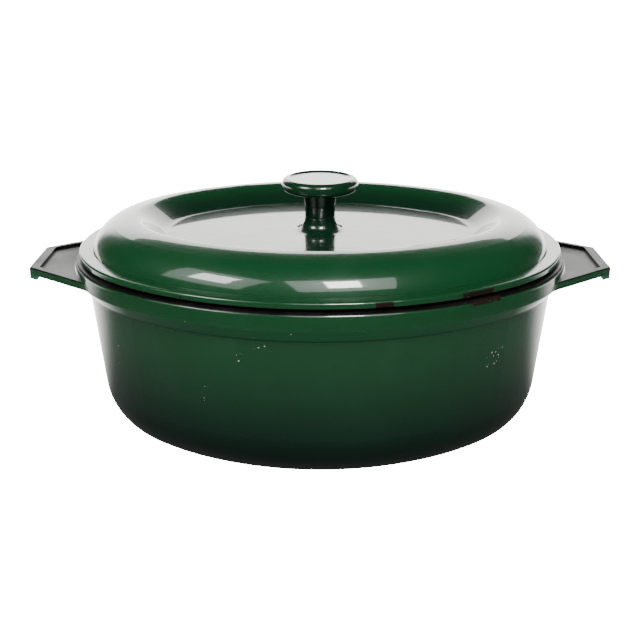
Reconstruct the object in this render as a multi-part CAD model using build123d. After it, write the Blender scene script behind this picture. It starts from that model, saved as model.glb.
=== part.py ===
from build123d import *
import math
import os

# Oval cast-iron casserole with a dished cover.
# Millimetres, +Z up, +X along the two handles; the origin is on the table under the middle.
# Every ring of the pot and the cover is one four-arc oval, drawn a set distance inside the
# cover's outline, so each wall keeps one thickness all the way round.

# --- driving dimensions -------------------------------------------------------------
cover_length = 320.0            # outline of the cover's flange along X
cover_width = 255.0             # the same along Y
oval_end_radius = 110.0         # radius of the outline's two end arcs

rim_height = 121.0              # the cover's seat above the table
cast_wall = 4.5                 # thickness of the pot's side
cast_floor = 5.0                # thickness of the pot's bottom
cover_wall = 4.0                # thickness of the cover

rim_overhang = 3.0              # rim of the pot beyond the cover's outline
rim_round = 2.6
rim_band_height = 18.2          # rim band, down to the step
band_taper = 6.3                # how far the band draws in on the way to the step
step_depth = 1.6                # step from the band to the wall
step_round = 0.8
wall_draft = 5.6                # degrees
base_round = 38.0               # radius between the wall and the bottom
foot_width = 9.0                # ring that the pot stands on
foot_height = 0.8

handle_projection = 31.5        # outer edge of a handle beyond the cover's outline
handle_end_width = 47.0         # length of that outer edge
handle_flare = 38.0             # degrees between a handle's side and X
handle_drop = 5.7               # handle's top below the rim
handle_thickness = 4.8
handle_corner = 3.0
handle_root = 30.0              # how far a handle's plan runs in under the rim
handle_web_radius = 26.0        # curve in plan between a handle's side and the rim
handle_edge_round = 1.2         # top edges of the handles
grip_lip_depth = 7.6            # lip under the outer edge, below the handle's top
grip_lip_width = 6.0
panel_border = 4.6              # raised border beside the sunken top panel
panel_end_border = 7.0          # the same at the handle's outer edge
panel_rim_border = 1.0          # the same against the rim
panel_depth = 1.8
panel_corner = 3.0
panel_root_corner = 7.0

flange_lift = 1.8               # underside of the flange's edge above the seat
flange_thickness = 4.0
flange_width = 8.5              # edge of the flange to the foot of the dome
flange_slope = 0.2              # rise of the flange's top towards the dome
flange_under_round = 0.8
flange_top_round = 1.6
seat_start = 4.5                # seat's outer edge inside the outline
seat_relief = 1.5               # slope between the seat and the flange's underside
seat_round = 0.6
seat_relief_round = 1.0
dome_height = 25.2              # crest above the seat
crest_inset = 37.0              # crest inside the outline
dome_top_radius = 34.0          # curve on the outer side of the crest
dome_foot_slope = 72.0          # degrees, where the dome leaves the flange
crest_inner_radius = 9.0        # curve on the dish side of the crest
dish_slope = 35.0               # degrees
dish_depth = 11.3               # crest to the dish's floor
dish_round = 9.5                # curve at the foot of the dish's side
dish_side_width = 30.0          # room for the dish's side, from the crest to the flat floor
spigot_clearance = 0.8          # gap between the spigot and the pot's rim
spigot_width = 3.2
spigot_depth = 5.0              # below the seat
spigot_round = 1.0

boss_height = 8.9               # boss above the dish's floor
boss_radius = 10.3
boss_flare = 7.4                # radius of the curve at the boss's foot
seam_chamfer = 0.4

knob_radius = 25.4
knob_thickness = 9.4
knob_height = 26.4              # seam to the top of the knob
knob_ring_width = 5.6           # raised ring round the knob's face
knob_face_depth = 0.9
knob_top_round = 4.0
knob_edge_round = 3.2           # lower edge of the disc
neck_radius = 10.1
neck_top_radius = 11.9
neck_length = 8.0               # straight part of the neck above the seam
neck_blend = 6.0                # curve at the end of that part
knob_under_round = 2.5
knob_under_rise = 1.0           # rise of the knob's underside towards its edge
knob_ring_slope = 0.8           # width of the slope from the ring down to the face
knob_ring_round = 0.5
knob_face_round = 0.6

screw_radius = 3.0
screw_hole_clearance = 0.4
screw_engagement = 12.0         # length of thread inside the knob
screw_head_radius = 5.5
screw_head_height = 3.6
screw_slot_width = 1.4
screw_slot_depth = 1.6
screw_head_round = 1.8
washer_radius = 9.0
washer_thickness = 1.6
washer_bore_clearance = 0.3
washer_chamfer = 0.4

nub_radius = 2.6                # drip points under the cover
nub_tip_radius = 1.4
nub_height = 2.4
nub_rings = ((66.0, 14), (84.0, 10), (102.0, 6))  # inset from the outline, count
overlap = 1.0                   # how far joined or cutting shapes run into each other

# --- derived sizes ------------------------------------------------------------------
half_length = cover_length / 2
half_width = cover_width / 2
end_centre = half_length - oval_end_radius
side_radius = (end_centre**2 + half_width**2 - oval_end_radius**2) / (
    2 * (half_width - oval_end_radius))
side_centre = side_radius - half_width
end_half_angle = math.degrees(math.atan2(side_centre, end_centre))
side_half_angle = 90 - end_half_angle

handle_reach = half_length + handle_projection
handle_top = rim_height - handle_drop
handle_under = handle_top - handle_thickness
step_z = rim_height - rim_band_height
band_foot = band_taper - rim_overhang
wall_top = band_foot + step_depth
draft = math.tan(math.radians(wall_draft))
wall_foot = wall_top + step_z * draft
cavity_top = wall_top + cast_wall
cavity_foot = cavity_top + (step_z - cast_floor) * draft
cavity_round = base_round - cast_floor
pot_core = wall_foot + base_round + foot_width

flange_under = rim_height + flange_lift
flange_top = flange_under + flange_thickness
crest_z = rim_height + dome_height
dish_z = crest_z - dish_depth
dish_under = dish_z - cover_wall
spigot_inset = cavity_top + spigot_clearance
seam_z = dish_z + boss_height
cover_core = crest_inset + dish_side_width


# --- oval tools ---------------------------------------------------------------------
def oval_arcs():
    """Centre, radius, middle bearing and half angle of the outline's four arcs."""
    return (
        ((end_centre, 0), oval_end_radius, 0, end_half_angle),
        ((0, -side_centre), side_radius, 90, side_half_angle),
        ((-end_centre, 0), oval_end_radius, 180, end_half_angle),
        ((0, side_centre), side_radius, 270, side_half_angle),
    )


def oval_face(inset):
    """Flat oval whose edge is `inset` inside the cover's outline."""
    edges = []
    for (cx, cy), radius, bearing, half_angle in oval_arcs():
        arc = CenterArc((cx, cy), radius - inset, bearing - half_angle, 2 * half_angle)
        edges.append(arc)
    return make_face(Curve() + edges)


def oval_plate(inset, low, high):
    """Upright oval block between two heights."""
    return Pos(0, 0, low) * extrude(oval_face(inset), high - low, dir=(0, 0, 1))


def rounded_face(corners, origin_radius):
    """Section in the XZ plane from (inset, z, fillet) corners, for turning about Z.
    The outline's radius there is `origin_radius`."""
    points = [(origin_radius - inset, z) for inset, z, _ in corners]
    section = make_face(Polyline(*points, close=True))
    for inset, z, radius in corners:
        if radius > 0:
            target = Vector(origin_radius - inset, z, 0)
            corner = section.vertices().sort_by_distance(target)[0]
            section = fillet(corner, radius)
    return Plane.XZ * section


def oval_ring(corners):
    """The section swept round the whole oval."""
    ring = None
    for (cx, cy), radius, bearing, half_angle in oval_arcs():
        section = rounded_face(corners, radius)
        sector = revolve(section, Axis.Z, 2 * half_angle)
        placed = Pos(cx, cy) * Rot(0, 0, bearing - half_angle) * sector
        ring = placed if ring is None else ring + placed
    return ring


def spun(corners):
    """The section of (radius, z, fillet) corners turned round the middle."""
    return revolve(rounded_face([(-radius, z, r) for radius, z, r in corners], 0), Axis.Z)


# --- pot ----------------------------------------------------------------------------
def pot_outside():
    """Band, step, wall and bottom of the pot as one closed block."""
    wall = oval_ring([
        (-rim_overhang, rim_height, rim_round),
        (-rim_overhang, handle_under, 0),
        (band_foot, step_z, step_round),
        (wall_top, step_z - step_depth, step_round),
        (wall_foot, 0, base_round),
        (pot_core, 0, 0),
        (pot_core, rim_height, 0),
    ])
    foot_cut = oval_plate(pot_core - overlap, 0, foot_height)
    return wall + oval_plate(pot_core, 0, rim_height) - foot_cut


def pot_cavity():
    """The inside of the pot, upright above the step and drafted below it."""
    core = cavity_foot + cavity_round + overlap
    above = rim_height + overlap
    side = oval_ring([
        (cavity_top, above, 0),
        (cavity_top, step_z, 0),
        (cavity_foot, cast_floor, cavity_round),
        (core, cast_floor, 0),
        (core, above, 0),
    ])
    return side + oval_plate(core, cast_floor, above)


def handle_outline(border, end_border, inner_x):
    """Plan of the handle at +X, drawn in by a border at its sides and at its outer edge."""
    flare = math.radians(handle_flare)
    outer_x = handle_reach - end_border
    outer_half = handle_end_width / 2 + end_border * math.tan(flare) - border / math.cos(flare)
    inner_half = outer_half + (outer_x - inner_x) * math.tan(flare)
    return make_face(Polyline(
        (outer_x, -outer_half), (outer_x, outer_half),
        (inner_x, inner_half), (inner_x, -inner_half), close=True))


def handles():
    """Both handles on one flat plate, which fills the rim's outline."""
    root_x = half_length - handle_root
    plan = oval_face(-rim_overhang)
    panels = Sketch()
    lips = Sketch()
    for turn in (0, 180):
        whole = Rot(0, 0, turn) * handle_outline(0, 0, root_x)
        plan = plan + whole
        panel = handle_outline(panel_border, panel_end_border, root_x)
        panel = panel - oval_face(-rim_overhang - panel_rim_border)
        outer = panel.vertices().group_by(Axis.X)[-1]
        panel = fillet(outer, panel_corner)
        inner = panel.vertices().group_by(Axis.X)[0]
        panel = fillet(inner, panel_root_corner)
        panels = panels + Rot(0, 0, turn) * panel
        lips = lips + Rot(0, 0, turn) * handle_outline(0, 0, handle_reach - grip_lip_width)
    corners = plan.vertices().filter_by(lambda v: abs(v.X) > handle_reach - overlap)
    plan = fillet(corners, handle_corner)
    arc_end_y = oval_end_radius * math.sin(math.radians(end_half_angle))
    roots = plan.vertices().filter_by(
        lambda v: abs(v.X) < half_length and abs(v.Y) < arc_end_y - overlap)
    plan = fillet(roots, handle_web_radius)
    plate = extrude(plan, -handle_thickness, dir=(0, 0, 1))
    plate = fillet(plate.edges().group_by(Axis.Z)[-1], handle_edge_round)
    lip = extrude(lips, -(grip_lip_depth - handle_thickness / 2), dir=(0, 0, 1))
    corner_edges = lip.edges().filter_by(Axis.Z).filter_by(
        lambda e: abs(e.center().X) > handle_reach - overlap)
    lip = Pos(0, 0, -handle_thickness / 2) * fillet(corner_edges, handle_corner)
    sunk = Pos(0, 0, -panel_depth) * extrude(panels, panel_depth + overlap, dir=(0, 0, 1))
    return Pos(0, 0, handle_top) * (plate + lip - sunk)


def make_pot():
    """The whole pot casting."""
    return pot_outside() + handles() - pot_cavity()


# --- cover --------------------------------------------------------------------------
def shoulder_arc_sizes(top_radius, run, rise, foot_slope):
    """Radius of the arc from the dome's foot that meets the top arc in line, and the slope
    in degrees where the two meet."""
    out = math.sin(math.radians(foot_slope))
    up = math.cos(math.radians(foot_slope))
    low = top_radius - rise
    radius = (run**2 + low**2 - top_radius**2) / (2 * (run * out + low * up - top_radius))
    meet = math.degrees(math.atan2(run - radius * out, low - radius * up))
    return radius, meet


def cover_skin(drop, foot_inset, foot_z, foot_slope, bottom_z, core):
    """Solid below one surface of the cover, from the dome's foot in to the core.
    The surface is `drop` inside the cover's outer surface."""
    top_radius = dome_top_radius - drop
    crest_top = crest_z - drop
    run = crest_inset - foot_inset
    shoulder, meet = shoulder_arc_sizes(top_radius, run, crest_top - foot_z, foot_slope)
    inner_radius = crest_inner_radius - drop
    slope = math.radians(dish_slope)
    floor_z = crest_z - dish_depth - drop
    floor_round = dish_round + drop
    ring = None
    for (cx, cy), radius, bearing, half_angle in oval_arcs():
        crest_x = radius - crest_inset
        foot = (radius - foot_inset, foot_z)
        foot_out = math.radians(90 - foot_slope)
        shoulder_centre = (foot[0] - shoulder * math.cos(foot_out),
                           foot_z - shoulder * math.sin(foot_out))
        shoulder_arc = CenterArc(shoulder_centre, shoulder, 90 - foot_slope, foot_slope - meet)
        top_arc = CenterArc((crest_x, crest_top - top_radius), top_radius, 90 - meet, meet)
        inner_centre = (crest_x, crest_top - inner_radius)
        inner_arc = CenterArc(inner_centre, inner_radius, 90, dish_slope)
        side_top = (crest_x - inner_radius * math.sin(slope),
                    inner_centre[1] + inner_radius * math.cos(slope))
        side_low_z = floor_z + floor_round * (1 - math.cos(slope))
        side_run = (side_top[1] - side_low_z) / math.tan(slope)
        side_low = (side_top[0] - side_run, side_low_z)
        floor_start = (side_low[0] - floor_round * math.sin(slope), floor_z)
        floor_centre = (floor_start[0], floor_z + floor_round)
        floor_arc = CenterArc(floor_centre, floor_round, 270, dish_slope)
        lines = Polyline(floor_start, (radius - core, floor_z), (radius - core, bottom_z),
                         (radius - foot_inset, bottom_z), foot)
        side = Line(side_top, side_low)
        outline = Curve() + [shoulder_arc, top_arc, inner_arc, side, floor_arc, lines]
        section = Plane.XZ * make_face(outline)
        sector = revolve(section, Axis.Z, 2 * half_angle)
        placed = Pos(cx, cy) * Rot(0, 0, bearing - half_angle) * sector
        ring = placed if ring is None else ring + placed
    return ring + oval_plate(core, bottom_z, floor_z)


def make_cover():
    """Domed skin on its flange and spigot, with the boss, the drip points and the bore."""
    bottom = rim_height - spigot_depth
    inner_foot = spigot_inset + spigot_width
    foot_z = flange_top + flange_slope
    below = bottom - overlap
    outside = cover_skin(0, flange_width, foot_z, dome_foot_slope, below, cover_core)
    inside = cover_skin(cover_wall, inner_foot, rim_height, 90, below, cover_core)
    flange = oval_ring([
        (0, flange_under, flange_under_round),
        (0, flange_top, flange_top_round),
        (flange_width + overlap, foot_z, 0),
        (inner_foot, foot_z, 0),
        (inner_foot, bottom, spigot_round),
        (spigot_inset, bottom, spigot_round),
        (spigot_inset, rim_height, 0),
        (seat_start, rim_height, seat_round),
        (seat_start - seat_relief, flange_under, seat_relief_round),
    ])
    trim = oval_ring([
        (0, below, 0),
        (inner_foot, below, 0),
        (inner_foot, rim_height + overlap, 0),
        (0, rim_height + overlap, 0),
    ])
    cover = outside - trim - inside + flange
    boss_foot = boss_radius + boss_flare + overlap
    boss = spun([
        (0, dish_z - overlap, 0),
        (boss_foot, dish_z - overlap, 0),
        (boss_foot, dish_z, 0),
        (boss_radius, dish_z, boss_flare),
        (boss_radius, seam_z, seam_chamfer),
        (0, seam_z, 0),
    ])
    cover = cover + boss
    for inset, count in nub_rings:
        for index in range(count):
            bearing = 2 * math.pi * (index + 0.5) / count
            x = (half_length - inset) * math.cos(bearing)
            y = (half_width - inset) * math.sin(bearing)
            nub = Cone(nub_tip_radius, nub_radius, nub_height + overlap,
                       align=(Align.CENTER, Align.CENTER, Align.MAX))
            cover = cover + Pos(x, y, dish_under + overlap) * nub
    bore = Cylinder(screw_radius + screw_hole_clearance, 2 * (cover_wall + boss_height))
    return cover - Pos(0, 0, dish_z) * bore


# --- knob and its screw -------------------------------------------------------------
def make_knob():
    """Disc with a raised ring on a waisted neck, with a blind hole for the screw."""
    top = seam_z + knob_height
    ring_inner = knob_radius - knob_ring_width
    face = top - knob_face_depth
    body = spun([
        (0, seam_z, 0),
        (neck_radius, seam_z, seam_chamfer),
        (neck_radius, seam_z + neck_length, neck_blend),
        (neck_top_radius, top - knob_thickness, knob_under_round),
        (knob_radius, top - knob_thickness + knob_under_rise, knob_edge_round),
        (knob_radius, top, knob_top_round),
        (ring_inner + knob_ring_slope, top, knob_ring_round),
        (ring_inner, face, knob_face_round),
        (0, face, 0),
    ])
    hole = Cylinder(screw_radius, screw_engagement + overlap,
                    align=(Align.CENTER, Align.CENTER, Align.MIN))
    return body - Pos(0, 0, seam_z) * hole


def make_washer():
    """Washer under the cover's middle."""
    low = dish_under - washer_thickness
    disc = Cylinder(washer_radius, washer_thickness,
                    align=(Align.CENTER, Align.CENTER, Align.MIN))
    disc = chamfer(disc.edges().group_by(Axis.Z)[0], washer_chamfer)
    bore = Cylinder(screw_radius + washer_bore_clearance, 2 * (washer_thickness + overlap))
    return Pos(0, 0, low) * (disc - bore)


def make_screw():
    """Slotted screw, up through the washer and the boss into the knob."""
    head_top = dish_under - washer_thickness
    shank = Cylinder(screw_radius, seam_z + screw_engagement - head_top,
                     align=(Align.CENTER, Align.CENTER, Align.MIN))
    head = Cylinder(screw_head_radius, screw_head_height,
                    align=(Align.CENTER, Align.CENTER, Align.MAX))
    head = fillet(head.edges().group_by(Axis.Z)[0], screw_head_round)
    slot = Box(4 * screw_head_radius, screw_slot_width, screw_slot_depth,
               align=(Align.CENTER, Align.CENTER, Align.MIN))
    body = shank + head - Pos(0, 0, -screw_head_height) * slot
    return Pos(0, 0, head_top) * body


# --- export -------------------------------------------------------------------------
os.makedirs("parts", exist_ok=True)
nodes = {
    "pot": make_pot(),
    "cover": make_cover(),
    "knob": make_knob(),
    "knob_washer": make_washer(),
    "knob_screw": make_screw(),
}
for name, shape in nodes.items():
    export_step(shape, f"parts/{name}.step")
    box = shape.bounding_box()
    print(name, round(shape.volume / 1000, 1), "cm3", box.min, box.max)
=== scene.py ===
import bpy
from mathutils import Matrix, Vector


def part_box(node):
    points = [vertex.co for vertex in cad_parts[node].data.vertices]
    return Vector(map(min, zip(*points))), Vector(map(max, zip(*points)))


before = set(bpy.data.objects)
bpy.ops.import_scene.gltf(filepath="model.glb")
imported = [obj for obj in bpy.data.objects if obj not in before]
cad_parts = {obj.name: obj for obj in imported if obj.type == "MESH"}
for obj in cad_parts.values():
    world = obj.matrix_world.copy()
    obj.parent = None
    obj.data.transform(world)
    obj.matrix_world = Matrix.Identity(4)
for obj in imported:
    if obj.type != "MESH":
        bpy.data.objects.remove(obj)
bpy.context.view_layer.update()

import math

import bmesh
import bpy
from mathutils import Matrix, Vector


# --- pot ---------------------------------------------------------------------------
# One iron casting with its rim band and two lug handles. The outside is glossy bottle
# green enamel, which darkens to nearly black towards the foot. The inside, the rim's top
# and the handles' tops are satin black enamel.

class Value:
    """A shader socket that Python arithmetic can be done on."""

    def __init__(self, paint, socket):
        self.paint = paint
        self.socket = socket

    def maths(self, operation, *others):
        return self.paint.node("ShaderNodeMath", {"operation": operation},
                               dict(enumerate((self,) + others)))

    def __add__(self, other):
        return self.maths("ADD", other)

    def __sub__(self, other):
        return self.maths("SUBTRACT", other)

    def __mul__(self, other):
        return self.maths("MULTIPLY", other)

    def __truediv__(self, other):
        return self.maths("DIVIDE", other)

    __radd__ = __add__
    __rmul__ = __mul__

    def __rsub__(self, other):
        return (self * -1.0) + other

    def __pow__(self, other):
        return self.maths("POWER", other)

    def __abs__(self):
        return self.maths("ABSOLUTE")

    def __lt__(self, other):
        return self.maths("LESS_THAN", other)

    def __gt__(self, other):
        return self.maths("GREATER_THAN", other)

    def root(self):
        return self.maths("SQRT")

    def lower(self, other):
        return self.maths("MINIMUM", other)

    def higher(self, other):
        return self.maths("MAXIMUM", other)

    def rise(self, low, high):
        """0 below `low`, 1 above `high`, smooth between."""
        settings = {"interpolation_type": "SMOOTHSTEP"}
        return self.paint.node("ShaderNodeMapRange", settings,
                               {"Value": self, "From Min": low, "From Max": high})


class Paint:
    """One material's nodes, with its surface shader and its place on the piece."""

    def __init__(self, name):
        self.material = bpy.data.materials.new(name)
        self.material.use_nodes = True
        self.tree = self.material.node_tree
        self.surface = self.tree.nodes["Principled BSDF"]
        self.place = self.node("ShaderNodeTexCoord", {}, {}, "Object")
        self.x = self.node("ShaderNodeSeparateXYZ", {}, {0: self.place}, "X")
        self.y = self.node("ShaderNodeSeparateXYZ", {}, {0: self.place}, "Y")
        self.z = self.node("ShaderNodeSeparateXYZ", {}, {0: self.place}, "Z")

    def node(self, kind, settings, inputs, output=0):
        """Adds a node; its inputs take plain values or other Values."""
        made = self.tree.nodes.new(kind)
        for key, value in settings.items():
            setattr(made, key, value)
        for key, value in inputs.items():
            if isinstance(value, Value):
                self.tree.links.new(value.socket, made.inputs[key])
            else:
                made.inputs[key].default_value = value
        return Value(self, made.outputs[output])

    def noise(self, scale, detail=2.0, roughness=0.5):
        return self.node("ShaderNodeTexNoise", {},
                         {"Vector": self.place, "Scale": scale, "Detail": detail,
                          "Roughness": roughness})

    def blend(self, mask, low, high):
        """Colour or link `low` where the mask is 0 and `high` where it is 1."""
        settings = {"data_type": "RGBA", "clamp_factor": True}
        return self.node("ShaderNodeMix", settings, {0: mask, 6: low, 7: high}, 2)

    def give(self, **sockets):
        """Sets or links the surface shader's own sockets."""
        for key, value in sockets.items():
            socket = self.surface.inputs[key.replace("_", " ")]
            if isinstance(value, Value):
                self.tree.links.new(value.socket, socket)
            else:
                socket.default_value = value

    def glaze(self, amount, roughness):
        """The clear glassy top of the enamel, over a hazier colour coat."""
        self.give(Coat_Weight=amount, Coat_Roughness=roughness, Specular_IOR_Level=0.14)

    def bump(self, height, distance):
        waves = self.node("ShaderNodeBump", {}, {"Height": height, "Distance": distance,
                                                 "Strength": 1.0})
        self.give(Normal=waves)

    def inset(self, half_length, half_width, end_radius):
        """Distance inside the four-arc oval outline, at any height."""
        centre = half_length - end_radius
        side_radius = (centre**2 + half_width**2 - end_radius**2) / (
            2 * (half_width - end_radius))
        drop = side_radius - half_width
        across = abs(self.x)
        deep = abs(self.y)
        past = across - centre
        end = end_radius - (past * past + deep * deep).root()
        lower = deep + drop
        side = side_radius - (across * across + lower * lower).root()
        at_end = (past * (drop / centre)) > deep
        return side + at_end * (end - side)


oval = {"half_length": 0.160, "half_width": 0.1275, "end_radius": 0.110}

green = (0.0034, 0.0340, 0.0108, 1)
green_deep = (0.0008, 0.0040, 0.0034, 1)
green_cloud = (0.0070, 0.0420, 0.0170, 1)
# painted light: a paler green for the rim band's sloping foot
green_painted_light = (0.0100, 0.0700, 0.0280, 1)
black = (0.0022, 0.0023, 0.0021, 1)
black_dusty = (0.0120, 0.0115, 0.0100, 1)
bare_iron = (0.0075, 0.0034, 0.0022, 1)
chalk = (0.45, 0.46, 0.40, 1)

pot_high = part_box("pot")[1]
rim_z = pot_high[2]
rim_overhang = 0.003
wall_start = 0.0049
wall_start_z = 0.1012
wall_lean = math.tan(math.radians(5.6))
step_z = 0.1028
band_z = 0.1100
base_round = 0.038
casting_half = 0.0022
handle_top_z = rim_z - 0.0057
handle_reach = pot_high[0]
handle_end_half = 0.0235
handle_flare = math.radians(38)
handle_border = 0.0022
handle_recess = 0.0021
rim_edge_width = 0.0034
rim_edge_height = 0.0030
lime_low_z = 0.055


def smudge(paint, low, high):
    """Slow patches, as where a cloth has dragged over the enamel."""
    return paint.noise(22.0, 4.0, 0.6).rise(low, high)


def chips(paint, band, coverage):
    """Small breaks in the enamel inside `band`, down to the dark iron."""
    flake = paint.noise(260.0, 3.0, 0.65)
    cluster = paint.noise(17.0, 1.0)
    return band * (flake * 0.5 + cluster).rise(coverage, coverage + 0.02)


def pot_outside_inset(z):
    """How far the pot's outer surface is inside the cover's outline at height z."""
    wall = (wall_start_z - z.higher(base_round)) * wall_lean + wall_start
    below = (base_round - z).higher(0.0)
    return wall + base_round - (base_round**2 - below * below).root()


def pot_enamel():
    paint = Paint("pot_enamel")
    inset = paint.inset(**oval)
    wobble = (paint.noise(45.0, 3.0) - 0.5) * 0.0012
    # darker towards the foot, with a cloudy edge
    depth = (paint.z + (paint.noise(7.0, 2.0) - 0.5) * 0.024).rise(-0.006, 0.106)
    colour = paint.blend(smudge(paint, 0.45, 0.75) * 0.5, green, green_cloud)
    colour = paint.blend(depth ** 1.4, green_deep, colour)
    # painted light: paler on the sloping foot of the rim band, standing in for the light it
    # catches from below
    rim_foot_painted_light = paint.z.rise(step_z - 0.0008, step_z) * (1.0 - paint.z.rise(band_z, band_z + 0.001))
    colour = paint.blend(rim_foot_painted_light, colour, green_painted_light)
    # satin black on the rim's top, the inside, the foot and the handles' tops
    on_rim = (paint.z + wobble * 0.4).rise(rim_z - 0.0012, rim_z - 0.0008)
    inside = (inset - pot_outside_inset(paint.z)).rise(casting_half - 0.0003, casting_half)
    past_rim = (0.0 - inset).rise(rim_overhang + 0.0003, rim_overhang + 0.0007)
    to_end = handle_reach - abs(paint.x)
    to_side = to_end * math.sin(handle_flare) + (
        handle_end_half - abs(paint.y)) * math.cos(handle_flare)
    in_border = to_end.lower(to_side) > handle_border
    # the black stops halfway round the handles' rounded top edges
    upward = (paint.z + wobble * 0.15).rise(handle_top_z - 0.00066, handle_top_z - 0.00054)
    on_handle = (paint.z > handle_top_z - handle_recess) * in_border.higher(upward) * past_rim
    dark = on_rim.higher(inside).higher(on_handle)
    dusty = paint.noise(38.0, 5.0, 0.7).rise(0.42, 0.75)
    colour = paint.blend(dark, colour, paint.blend(dusty * 0.7, black, black_dusty))
    edge = (inset + rim_overhang) < rim_edge_width
    rim_edge = edge * paint.z.rise(rim_z - rim_edge_height, rim_z - 0.0022)
    chip = chips(paint, rim_edge, 0.96)
    colour = paint.blend(chip, colour, bare_iron)
    # lime spots where water has dried on the wall
    dot = paint.noise(520.0, 2.0, 0.6)
    patch = paint.noise(34.0, 1.0)
    spots = (dot + patch).rise(1.39, 1.43) * (paint.z > lime_low_z) * (1.0 - dark)
    colour = paint.blend(spots, colour, chalk)
    rough = smudge(paint, 0.3, 0.8) * 0.10 + 0.30
    rough = rough + dark * (dusty * 0.12 + 0.02) + chip * 0.3 + spots * 0.3
    paint.give(Base_Color=colour, Roughness=rough)
    paint.glaze(1.0 - dark.higher(chip).higher(spots), 0.08)
    peel = paint.noise(130.0, 2.0) * (1.0 - dark) * 0.6 + paint.noise(28.0, 1.0)
    grain = paint.noise(750.0, 4.0, 0.7) * dark
    paint.bump(peel + grain * 0.6 - chip * 1.5, 0.00014)
    return paint.material


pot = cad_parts["pot"]
pot.data.materials.clear()
pot.data.materials.append(pot_enamel())


# --- cover -------------------------------------------------------------------------
# A second iron casting, glossy green all over: flange, domed ring, sunken dish and boss.
# Its underside is satin black enamel, and years of use have chipped the flange's edge.

flange_under_z = rim_z + 0.0018
flange_top_z = flange_under_z + 0.0040
flange_edge_width = 0.0022
front_chip_x = 0.0365
front_chip_width = 0.0100
half_wall = 0.0020
crest_inset = 0.037
crest_z = rim_z + 0.0252
dome_top_radius = 0.034
crest_inner_radius = 0.009
dish_slope = math.radians(35)
dish_z = crest_z - 0.0113


def cover_middle(inset):
    """Height inside the cover's wall at an inset, which parts its top from its underside."""
    out = crest_inset - inset.lower(crest_inset)
    # 1 mm below the middle, because the dome's shoulder is tighter than its top
    middle_radius = dome_top_radius - half_wall - 0.001
    dome = (middle_radius**2 - out * out).higher(0.0).root() + (crest_z - dome_top_radius)
    crest_middle = crest_inner_radius - half_wall
    side_top = crest_z - crest_inner_radius + crest_middle / math.cos(dish_slope)
    side = side_top - (inset - crest_inset) * math.tan(dish_slope)
    dish = side.higher(dish_z - half_wall)
    return dome.lower(dish).higher(flange_under_z + 0.0002)


def front_chip(paint, centre, width):
    """One larger break on the front of the flange's edge."""
    ragged = (paint.noise(420.0, 3.0) - 0.5) * 0.0022
    across = abs(paint.x - centre) + ragged
    return (across < width / 2) * (paint.y < 0.0)


def cover_enamel():
    paint = Paint("cover_enamel")
    inset = paint.inset(**oval)
    under = paint.z < cover_middle(inset)
    colour = paint.blend(smudge(paint, 0.45, 0.8) * 0.35, green, green_cloud)
    dusty = paint.noise(40.0, 5.0, 0.7).rise(0.42, 0.75)
    # painted shade: darker in the sunken dish
    colour = paint.blend(inset.rise(0.038, 0.052) * 0.65, colour, green_deep)
    colour = paint.blend(under, colour, paint.blend(dusty * 0.6, black, black_dusty))
    edge = (inset < flange_edge_width) * (paint.z < flange_top_z - 0.0006)
    large_chip = front_chip(paint, front_chip_x, front_chip_width)
    chip = chips(paint, edge, 0.94).higher(edge * large_chip)
    colour = paint.blend(chip, colour, bare_iron)
    rough = smudge(paint, 0.3, 0.8) * 0.10 + 0.28
    paint.give(Base_Color=colour, Roughness=rough + under * 0.06 + chip * 0.3)
    paint.glaze(1.0 - under.higher(chip), 0.055)
    ripple = paint.noise(150.0, 2.0) * (inset.rise(0.045, 0.060) * 1.4 + 0.7)
    peel = ripple * (1.0 - under) + paint.noise(26.0, 1.0)
    grain = paint.noise(750.0, 4.0, 0.7) * under
    paint.bump(peel + grain * 0.6 - chip * 1.5, 0.00016)
    return paint.material


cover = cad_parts["cover"]
cover.data.materials.clear()
cover.data.materials.append(cover_enamel())


# --- knob --------------------------------------------------------------------------
# A small iron casting in the same green enamel: a disc with a raised ring round its face,
# on a waisted neck. It stands on the cover's boss, and a screw from below holds it.

knob_foot_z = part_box("knob")[0][2]


def knob_enamel():
    paint = Paint("knob_enamel")
    # painted shade: darker all over, and darkest at the foot of the neck under the disc
    low = 1.0 - (paint.z - knob_foot_z).rise(0.004, 0.026) * 0.35
    colour = paint.blend(smudge(paint, 0.45, 0.8) * 0.3, green, green_cloud)
    colour = paint.blend(low * 0.75, colour, green_deep)
    paint.give(Base_Color=colour, Roughness=smudge(paint, 0.3, 0.8) * 0.1 + 0.26)
    paint.glaze(1.0, 0.05)
    paint.bump(paint.noise(240.0, 2.0), 0.00008)
    return paint.material


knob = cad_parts["knob"]
knob.data.materials.clear()
knob.data.materials.append(knob_enamel())


# --- screw and washer --------------------------------------------------------------
# The screw goes up through the cover's bore into the knob, and the washer lies between its
# head and the cover's underside. Both are bare turned steel.

def turned_steel():
    paint = Paint("turned_steel")
    across = paint.noise(700.0, 2.0)
    shade = paint.blend(across, (0.42, 0.41, 0.39, 1), (0.55, 0.54, 0.52, 1))
    paint.give(Base_Color=shade, Metallic=1.0, Roughness=across * 0.15 + 0.28)
    return paint.material


steel = turned_steel()
for name in ("knob_screw", "knob_washer"):
    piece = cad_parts[name]
    piece.data.materials.clear()
    piece.data.materials.append(steel)


# --- table, light and camera -------------------------------------------------------
# A round pale floor with white walls, which only the camera sees, and a white card and a
# grey sheet, which only show as reflections. Two soft boxes stand above the front.

def glowing(name, body, colour, strength):
    """Material of a stage object that gives off its own light."""
    paint = Paint(name)
    paint.give(Base_Color=body, Roughness=0.9, Emission_Strength=strength)
    paint.give(Emission_Color=colour(paint))
    return paint.material


def staged(name, shape, material, camera_only):
    mesh = bpy.data.meshes.new(name)
    shape.to_mesh(mesh)
    shape.free()
    mesh.materials.append(material)
    made = bpy.data.objects.new(name, mesh)
    bpy.context.collection.objects.link(made)
    made.visible_camera = camera_only
    made.visible_glossy = not camera_only
    made.visible_diffuse = not camera_only
    made.visible_shadow = False


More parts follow.
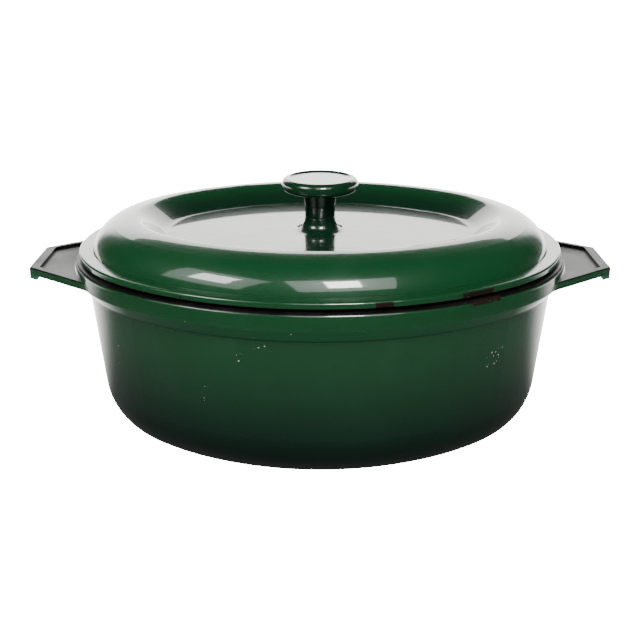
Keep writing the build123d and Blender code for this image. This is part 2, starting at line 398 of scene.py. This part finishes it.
pale = (0.8, 0.8, 0.79, 1)
unlit = (0, 0, 0, 1)
floor_radius = 12.0
wall_height = 9.0
sheet_half = 9.0
card_distance = 5.2
card_height = 3.4
card_half_angle = 50


def sheet_colour(paint):
    """A dim ring round the pot with darkness beyond, and white behind its two ends."""
    out = (paint.x * paint.x + paint.y * paint.y * 1.5).root()
    ring = out.rise(0.13, 0.30) * (1.0 - out.rise(0.38, 0.50))
    front = paint.blend(ring, (0.010, 0.011, 0.010, 1), (0.055, 0.060, 0.055, 1))
    corner = paint.y.rise(0.0, 0.24) * abs(paint.x).rise(0.10, 0.20)
    return paint.blend(corner, front, (1, 1, 0.98, 1))


def card_colour(paint):
    """White in the middle, dark towards both ends."""
    side = (abs(paint.x) / card_distance).rise(0.45, 0.64)
    return paint.blend(side, (1, 1, 0.98, 1), (0.02, 0.02, 0.02, 1))


shape = bmesh.new()
bmesh.ops.create_cone(shape, cap_ends=True, radius1=floor_radius, radius2=floor_radius,
                      depth=wall_height, segments=64)
bmesh.ops.translate(shape, verts=shape.verts, vec=(0, 0, wall_height / 2))
staged("floor", shape, glowing("pale_floor", pale, lambda paint: (1, 1, 1, 1), 26.0), True)

shape = bmesh.new()
bmesh.ops.create_grid(shape, x_segments=1, y_segments=1, size=sheet_half)
bmesh.ops.translate(shape, verts=shape.verts, vec=(0, 0, -0.001))
staged("grey_sheet", shape, glowing("grey_sheet", unlit, sheet_colour, 4.0), False)

shape = bmesh.new()
upright = [shape.verts.new((0, card_distance, z)) for z in (0.0, card_height)]
sweep = [shape.edges.new(upright)]
start = Matrix.Rotation(math.radians(-card_half_angle), 3, "Z")
bmesh.ops.rotate(shape, verts=upright, matrix=start)
bmesh.ops.spin(shape, geom=upright + sweep, axis=(0, 0, 1),
               angle=math.radians(2 * card_half_angle), steps=32)
staged("back_card", shape, glowing("back_card", unlit, card_colour, 4.8), False)

world = bpy.data.worlds.new("room")
world.use_nodes = True
world.node_tree.nodes["Background"].inputs["Color"].default_value = (1, 1, 1, 1)
world.node_tree.nodes["Background"].inputs["Strength"].default_value = 0.03
bpy.context.scene.world = world


def soft_box(name, bearing, height, distance, size, power):
    """Area light aimed at the middle of the cover; bearing 0 is the front, + to the right."""
    turn = math.radians(bearing)
    lift = math.radians(height)
    middle = Vector((0, 0, 0.12))
    away = Vector((math.sin(turn) * math.cos(lift), -math.cos(turn) * math.cos(lift),
                   math.sin(lift)))
    data = bpy.data.lights.new(name, "AREA")
    data.shape = "RECTANGLE"
    data.size, data.size_y = size
    data.energy = power
    lamp = bpy.data.objects.new(name, data)
    lamp.location = middle + away * distance
    lamp.rotation_euler = away.to_track_quat("Z", "Y").to_euler()
    bpy.context.collection.objects.link(lamp)
    return lamp


soft_box("key", 12, 47, 1.6, (0.34, 0.44), 26)
soft_box("fill", -54, 42, 1.6, (0.44, 0.40), 12)
soft_box("key_halo", 12, 45, 1.6, (1.1, 0.8), 11)
soft_box("fill_halo", -54, 40, 1.6, (1.0, 0.8), 7)
wash = soft_box("front_wash", 0, 8, 2.4, (2.6, 1.2), 24)
bounce = soft_box("floor_bounce", 0, -11, 0.55, (1.0, 0.16), 1.6)
for lamp in (wash, bounce):
    lamp.visible_glossy = False
    lamp.visible_camera = False

camera_back = 0.6824
camera_height = 0.3236
camera_tilt = 0.3565

lens = bpy.data.cameras.new("camera")
lens.sensor_width = 36.0
lens.lens = 59.06
camera = bpy.data.objects.new("camera", lens)
camera.location = (0, -camera_back, camera_height)
camera.rotation_euler = (math.pi / 2 - camera_tilt, 0, 0)
bpy.context.collection.objects.link(camera)
bpy.context.scene.camera = camera
